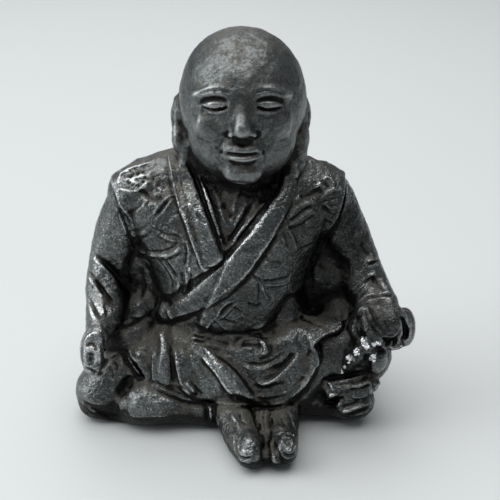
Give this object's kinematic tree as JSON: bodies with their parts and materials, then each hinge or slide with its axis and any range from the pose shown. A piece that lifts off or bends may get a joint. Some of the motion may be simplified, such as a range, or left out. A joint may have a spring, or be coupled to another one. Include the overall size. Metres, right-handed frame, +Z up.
{
  "type": "laughing buddha statuette",
  "caption": "Solid cast lead figurine of a bald robed old man seated with folded legs, a fist on each knee and both feet to the front.",
  "frame": {"origin": "middle of the ground that the figure covers, on the plane of its flat underside", "axes": "+Z up through the head, -Y to the front where the feet point, +X to the figure's left hand"},
  "size_m": [0.0432, 0.0298, 0.0499],
  "materials": {
    "lead": "worn grey lead, dark and dusty in the hollows"
  },
  "bodies": {
    "root": {"seated_figure": "lead"}
  },
  "joints": []
}
